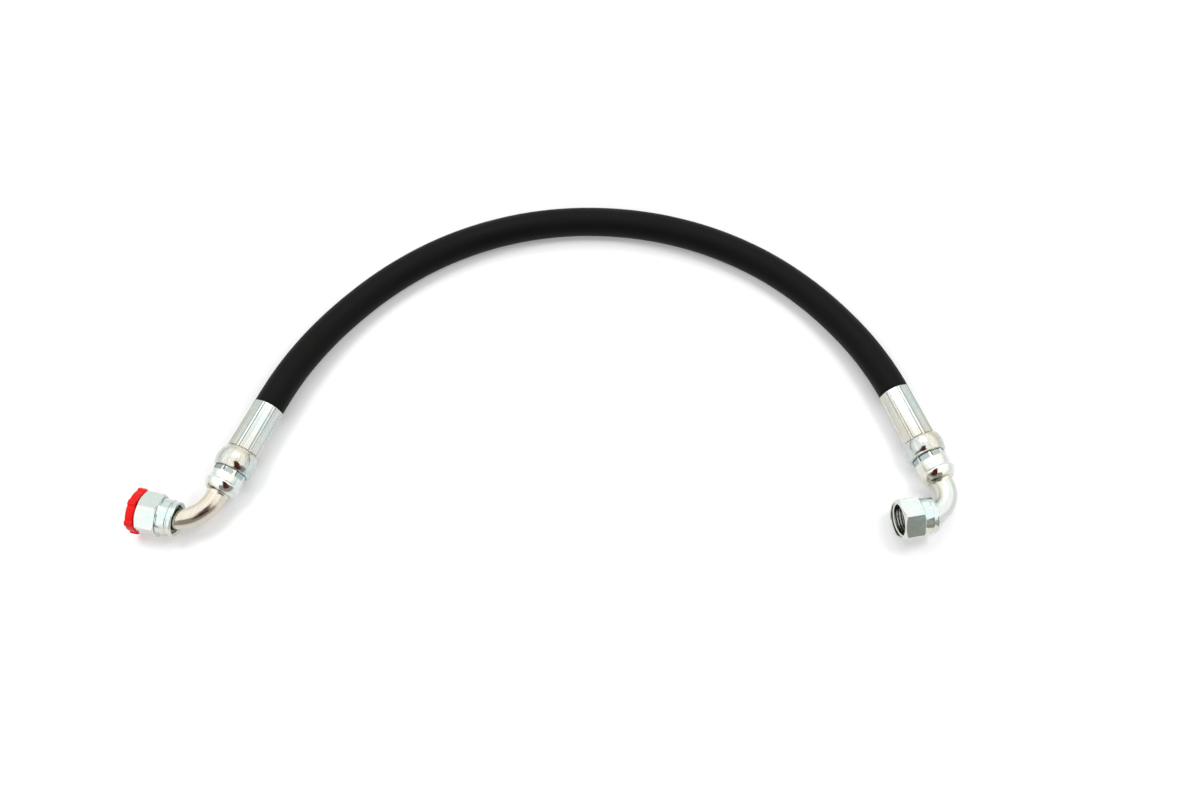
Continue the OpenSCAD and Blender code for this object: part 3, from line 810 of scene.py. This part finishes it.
nutValues = {
    "across": 25.4, "hexLength": 13.5, "corner": 0.4, "corners": 6, "sides": 96, "smooth": 28,
    "face": 12.35, "faceLand": 0.12, "faceEdge": 0.05, "rearEdge": 13.3,
    "hexRings": (-1.4, -1.9, -5, -8.5), "rearRings": (1.5, 1.0),    # along the hexagon from either end
    "frontEnd": 1, "rearEnd": 0.5, "chamferAngle": 30, "chamferGap": 0.04, "shoulderStep": 0.2,
    "shoulderAcross": 22.9, "shoulderStart": 12.3, "shoulderEnd": 11.9, "shoulderLength": 6.5,
    "shoulderRings": ((-0.02, 0), (-0.5, 0.03), (-1.0, 0.06)),  # from the hexagon's end, and below the start
    "shoulderFoot": ((0.5, 0.02), (0.1, 0)),                    # from the ring, and over the shoulder's end
    "shoulderFlat": (0.4, -0.9), "ringFlat": (-3.1, -0.9),      # where the presses start and end
    "ring": 23, "ringAcross": 22.2, "length": 24, "pressed": 0.1, "outsideFrom": 11, "hexFrom": 12,
    "ringRings": (-0.05, -0.8, -1.0, -3.0, -3.2),               # along, from the shoulder's end
    "ringEdge": ((0.55, 0), (0.2, 0.18), (0.03, 0.5), (0, 0.75)),   # from the rear end, and below the ring
    "crest": 20.3, "root": 22.2, "pitch": 1.814, "threadStart": 0.9, "threadEnd": 10.0, "threadSteps": 72,
    "crestFlat": 0.17, "flankAngle": 27.5, "rootSink": 0.05,
    "runOut": (0.1, 0.25), "thinnest": 0.05, "rootGap": 0.02,    # shares of the pitch, and of the depth
    "mouth": 11.3, "mouthDepth": 0.25, "guide": 20.9, "guideEdges": (-0.3, 0.35), "landEnd": 15.1,
    "skirt": 18.4, "lead": 1.1,
    "lines": (0, 0.42, 0.8, 1.6, 5, 11, 17.5, 24),      # degrees from a corner
}


def nutProfile(hexEnd, ringStart):
    v = nutValues
    peak, ring, rear = v["across"] / 2 / math.cos(math.pi / v["corners"]), v["ring"] / 2, -v["length"]
    root, guide, skirt = v["root"] / 2, v["guide"] / 2, v["skirt"] / 2
    profile = [(-v["mouthDepth"], root), (0, v["mouth"]), (0, v["face"] - v["faceLand"])]
    profile.append((-v["faceEdge"], v["face"]))
    profile += [(x, peak) for x in v["hexRings"]] + [(hexEnd + x, peak) for x in v["rearRings"]]
    profile.append((hexEnd, v["rearEdge"]))
    profile += [(hexEnd + x, v["shoulderStart"] - below) for x, below in v["shoulderRings"]]
    profile += [(ringStart + x, v["shoulderEnd"] + over) for x, over in v["shoulderFoot"]]
    profile += [(ringStart + x, ring) for x in v["ringRings"]]
    profile += [(rear + x, ring - below) for x, below in v["ringEdge"]]
    # In at the rear and back along the skirt, the land and the thread's root
    profile += [(rear, skirt + v["lead"]), (rear + v["lead"], skirt)]
    profile += [(-v["landEnd"] - (guide - skirt), skirt), (-v["landEnd"], guide)]
    sunk, risen = v["guideEdges"]
    return profile + [(-v["threadEnd"] + sunk, guide), (-v["threadEnd"] + risen, root)]


def chamferHexagon(piece, hexEnd):
    # Both chamfers cut the hexagon in an arc on every side
    v = nutValues
    slope, near, gap = math.tan(math.radians(v["chamferAngle"])), 0.01, v["chamferGap"]
    front, back = v["hexRings"][0], hexEnd + v["rearRings"][-1]
    for vertex in piece.data.vertices:
        x, radius, turn = polarOf(vertex.co)
        side = sideRadius(turn, v["corners"], v["across"], v["corner"])
        if abs(x - front) < near:
            moveTo(vertex, -v["faceEdge"] - (side - v["face"]) * slope, side, turn)
        elif abs(x - back) < near:
            moveTo(vertex, hexEnd + max(gap, (side - v["rearEdge"]) * slope + gap), side, turn)
        elif abs(x - hexEnd) < near and radius > v["shoulderStart"] + v["shoulderStep"]:
            moveTo(vertex, hexEnd, min(radius, side - gap), turn)


def makeNutBody(end):
    v = nutValues
    corners, outside, pressed = v["corners"], v["outsideFrom"], v["pressed"]
    hexEnd = -v["hexLength"]
    ringStart = hexEnd - v["shoulderLength"]
    piece = turnPiece("swivelNut" + end["letter"].upper(), nutProfile(hexEnd, ringStart), v["sides"])
    spreadTurns(piece, corners, v["lines"])
    pressFlats(
        piece, hexEnd + v["rearEnd"], -v["frontEnd"], v["hexFrom"], corners, v["across"], v["corner"]
    )
    low, high = v["shoulderFlat"]
    pressFlats(piece, ringStart + low, hexEnd + high, outside, corners, v["shoulderAcross"], pressed)
    low, high = v["ringFlat"]
    pressFlats(piece, ringStart + low, ringStart + high, outside, corners, v["ringAcross"], pressed)
    chamferHexagon(piece, hexEnd)
    return piece


def makeThread():
    # A helical ridge between the crest and the root of the nut's thread, thinning out at both ends
    v = nutValues
    crest, root, pitch = v["crest"] / 2, v["root"] / 2 + v["rootSink"], v["pitch"]
    flat = pitch * v["crestFlat"]
    foot = flat + (root - crest) * math.tan(math.radians(v["flankAngle"]))
    turns = (v["threadEnd"] - v["threadStart"]) / pitch
    deselectAll()
    bpy.ops.mesh.primitive_plane_add(size=mm)
    piece = bpy.context.object
    piece.name = "thread"
    corners = [(foot, root), (flat, crest), (-foot, root), (-flat, crest)]
    for vertex, (x, radius) in zip(piece.data.vertices, corners):
        moveTo(vertex, x - v["threadStart"], radius, 0)
    bpy.ops.object.mode_set(mode="EDIT")
    bpy.ops.mesh.select_all(action="SELECT")
    bpy.ops.mesh.delete(type="ONLY_FACE")
    bpy.ops.object.mode_set(mode="OBJECT")
    winding = piece.modifiers.new("winding", "SCREW")
    winding.axis = "X"
    winding.angle = 2 * math.pi * turns
    winding.screw_offset = -pitch * turns * mm
    winding.steps = winding.render_steps = round(turns * v["threadSteps"])
    bpy.ops.object.modifier_apply(modifier=winding.name)
    early, late = v["runOut"]
    for vertex in piece.data.vertices:
        x, radius, turn = polarOf(vertex.co)
        if radius < (crest + root) / 2:
            fromEnd = min(-v["threadStart"] - x, x + v["threadEnd"])
            share = min(1, max(v["thinnest"], (fromEnd / pitch + early) / late))
            inner = max(root - (root - crest) * share, v["mouth"] + x)
            moveTo(vertex, x, min(inner, root - v["rootGap"]), turn)
    bpy.ops.object.mode_set(mode="EDIT")
    bpy.ops.mesh.select_all(action="SELECT")
    bpy.ops.mesh.fill_holes(sides=4)
    bpy.ops.mesh.normals_make_consistent(inside=False)
    bpy.ops.object.mode_set(mode="OBJECT")
    return piece


def makeNut(end, material):
    nut, thread = makeNutBody(end), makeThread()
    turnAbout(nut, end["nutTurn"] - 90)
    deselectAll()
    thread.select_set(True)
    nut.select_set(True)
    bpy.context.view_layer.objects.active = nut
    bpy.ops.object.join()
    placePiece(nut, portPlace(end))
    smoothPiece(nut, nutValues["smooth"])
    finishPiece(nut, material, end["nutBody"], "nut_zinc", "swivel_nut_" + end["letter"])
    return nut


for end in (endA, endB):
    port = portPlace(end)
    zinc = makeZinc(
        "nutZinc" + end["letter"].upper(), port.translation / mm, end["heading"] - end["bend"], nutZinc
    )
    end["nut"] = makeNut(end, zinc)
print("swivel nuts made")


plugValues = {
    "head": 27.4, "length": 5.3, "gap": 0.2, "turn": 2, "outsideFrom": 12, "sides": 144, "smooth": 35,
    "over": 30, "lugs": 6, "lugWidth": 3.4, "lugEdge": (0.3, 0.7),
    "lines": (0, 2.0, 4.0, 5.6, 6.8, 7.6, 8.4, 10, 13, 17, 21.5, 26),   # degrees from a lug's middle
    "edge": ((0, 0.5), (0.12, 0.12), (0.5, 0)),     # in from a face of the head, and below its rim
    "rings": (2, 4), "neck": 9.9,
    "cup": ((0, 8.5), (-0.15, 8.15), (-0.5, 8.0)),  # in from the outer face, and the radius
    "spigot": [(-6.5, 8.0), (-6.5, 0.4), (-8.5, 0.4), (-8.5, 9.3), (-8.2, 9.5)],
    "fins": [
        (-6.0, 9.62), (-5.9, 10.05), (-5.5, 10.08), (-5.4, 9.65),
        (-4.2, 9.7), (-4.1, 10.05), (-3.7, 10.08), (-3.6, 9.72),
        (-2.4, 9.77), (-2.3, 10.05), (-1.9, 10.08), (-1.8, 9.8),
    ],
}


def plugProfile():
    v = plugValues
    start, end, rim = v["gap"], v["gap"] + v["length"], v["head"] / 2
    profile = [(start, v["neck"])] + [(start + x, rim - below) for x, below in v["edge"]]
    profile += [(start + x, rim) for x in v["rings"]]
    profile += [(end - x, rim - below) for x, below in reversed(v["edge"])]
    return profile + [(end + x, radius) for x, radius in v["cup"]] + v["spigot"] + v["fins"]


def makePlug():
    v = plugValues
    piece = turnPiece("transitPlug", plugProfile(), v["sides"])
    spreadTurns(piece, v["lugs"], v["lines"])
    sector, half, height = 360 / v["lugs"], v["lugWidth"] / 2, (v["over"] - v["head"]) / 2
    inner, width = v["lugEdge"]
    for vertex in piece.data.vertices:
        x, radius, turn = polarOf(vertex.co)
        if x > v["gap"] / 2 and radius > v["outsideFrom"]:
            # A rounded bar stands on the rim at each lug
            away = math.radians(abs((turn + sector / 2) % sector - sector / 2))
            share = 1 - min(1, max(0, (away * radius - half + inner) / width))
            moveTo(vertex, x, radius + height * share * share * (3 - 2 * share), turn)
    turnAbout(piece, v["turn"] - 90)
    placePiece(piece, portPlace(endA))
    smoothPiece(piece, v["smooth"])
    finishPiece(piece, polyethylene, "plug", "plug_plastic", "transit_plug")
    return piece


makePlug()
print("transit plug made")


def makeFloor():
    # A white laminated board, whose white shows in the metal too; its sizes are in metres
    values = {
        "size": 8.0, "colour": "#f3f3f4", "lift": 0.13, "farLift": 0.6, "near": 0.235, "far": 0.42,
        "mirrorLift": 0.3, "roughness": 0.25,
    }
    deselectAll()
    bpy.ops.mesh.primitive_plane_add(size=values["size"], location=(0, 0, 0))
    floor = bpy.context.object
    floor.name = "floor"
    material, tree = newMaterial("laminatedBoard")
    paths = addNode(tree, "ShaderNodeLightPath", {}).outputs
    board = addNode(
        tree, "ShaderNodeBsdfPrincipled",
        {"Base Color": fromHex(values["colour"]), "Roughness": values["roughness"], "IOR": 1.45},
    ).outputs["BSDF"]
    # Painted light: a glow seen by the camera grows with the distance from the arch's middle, so the floor
    # outside the arch is white and only the shade near the object is left
    place = addNode(tree, "ShaderNodeTexCoord", {}).outputs["Object"]
    away = addNode(tree, "ShaderNodeVectorMath", {0: place}, operation="LENGTH").outputs["Value"]
    lift = addNode(
        tree, "ShaderNodeMapRange",
        {
            "Value": away, "From Min": values["near"], "From Max": values["far"],
            "To Min": values["lift"], "To Max": values["farLift"],
        },
    ).outputs["Result"]
    seen = addNode(
        tree, "ShaderNodeMath", {0: paths["Is Camera Ray"], 1: lift}, operation="MULTIPLY"
    ).outputs["Value"]
    mirrored = addNode(
        tree, "ShaderNodeMath", {0: paths["Is Glossy Ray"], 1: values["mirrorLift"]}, operation="MULTIPLY"
    ).outputs["Value"]
    strength = addNode(tree, "ShaderNodeMath", {0: seen, 1: mirrored}, operation="ADD").outputs["Value"]
    glow = addNode(
        tree, "ShaderNodeEmission", {"Color": (1, 1, 1, 1), "Strength": strength}
    ).outputs["Emission"]
    both = addNode(tree, "ShaderNodeAddShader", {0: board, 1: glow}).outputs["Shader"]
    addNode(tree, "ShaderNodeOutputMaterial", {"Surface": both})
    floor.data.materials.append(material)


def makeWorld():
    # Even white light, which in the metal is greyer near the horizon than overhead
    values = {"diffuse": 0.4, "mirror": 1.72, "horizon": "#cdd0ce", "wall": "#e3e6e4", "ceiling": "#ffffff"}
    world = bpy.data.worlds.new("studio")
    bpy.context.scene.world = world
    world.use_nodes = True
    tree = world.node_tree
    tree.nodes.clear()
    paths = addNode(tree, "ShaderNodeLightPath", {}).outputs
    direction = addNode(tree, "ShaderNodeTexCoord", {}).outputs["Generated"]
    height = addNode(tree, "ShaderNodeSeparateXYZ", {"Vector": direction}).outputs["Z"]
    studio = addNode(
        tree, "ShaderNodeValToRGB", {"Fac": height},
        [(0.0, values["horizon"]), (0.3, values["wall"]), (0.55, values["ceiling"])],
    ).outputs["Color"]
    plain = addNode(
        tree, "ShaderNodeBackground", {"Color": (1, 1, 1, 1), "Strength": values["diffuse"]}
    ).outputs["Background"]
    gloss = addNode(
        tree, "ShaderNodeBackground", {"Color": studio, "Strength": values["mirror"]}
    ).outputs["Background"]
    white = addNode(
        tree, "ShaderNodeBackground", {"Color": (1, 1, 1, 1), "Strength": 1.0}
    ).outputs["Background"]
    lit = addNode(
        tree, "ShaderNodeMixShader", {0: paths["Is Glossy Ray"], 1: plain, 2: gloss}
    ).outputs["Shader"]
    shown = addNode(
        tree, "ShaderNodeMixShader", {0: paths["Is Camera Ray"], 1: lit, 2: white}
    ).outputs["Shader"]
    addNode(tree, "ShaderNodeOutputWorld", {"Surface": shown})


def aimAt(target, place):
    return (Vector(target) - Vector(place)).to_track_quat("-Z", "Y").to_euler()


def addFlag(name, place, target, size, colour):
    # A dark card that only shows in the metal, and gives its bright curves an edge
    deselectAll()
    bpy.ops.mesh.primitive_plane_add(size=1, location=place)
    flag = bpy.context.object
    flag.name = name
    flag.scale = (size[0], size[1], 1)
    flag.rotation_euler = aimAt(target, place)
    flag.visible_camera = flag.visible_diffuse = flag.visible_shadow = False
    material, tree = newMaterial(name)
    card = addNode(
        tree, "ShaderNodeEmission", {"Color": fromHex(colour), "Strength": 1.0}
    ).outputs["Emission"]
    addNode(tree, "ShaderNodeOutputMaterial", {"Surface": card})
    flag.data.materials.append(material)


def addSoftbox(name, place, size, brightness, mirrored=True):
    # brightness 1 looks as white as the background in a mirror
    deselectAll()
    bpy.ops.object.light_add(type="AREA", location=place)
    lamp = bpy.context.object
    lamp.name = name
    lamp.data.shape = "RECTANGLE"
    lamp.data.size, lamp.data.size_y = size
    lamp.data.energy = brightness * math.pi * size[0] * size[1]
    lamp.visible_camera = False
    lamp.visible_glossy = mirrored
    lamp.rotation_euler = aimAt((0, 0.05, 0), place)


makeFloor()
makeWorld()
addFlag("roomFlag", (0.08, -0.45, 0.3), (0.08, 0, 0.3), (1.0, 0.6), "#a9aba4")
addFlag("cameraFlag", (0.035, -0.29, 0.62), (0.035, 0.65, 0.3), (0.36, 0.8), "#5c2c24")
addSoftbox("softboxLeft", (-0.5, 0.12, 0.85), (0.3, 0.3), 7.5, mirrored=False)
addSoftbox("softboxRight", (0.52, 0.12, 0.85), (0.3, 0.3), 7.5, mirrored=False)
addSoftbox("softboxTop", (0.0, 0.5, 0.95), (0.6, 0.5), 2.3)
addSoftbox("softboxFront", (0.0, -0.5, 0.7), (0.9, 0.3), 2.2, mirrored=False)
bpy.context.scene.view_settings.view_transform = "Standard"
print("stage set")
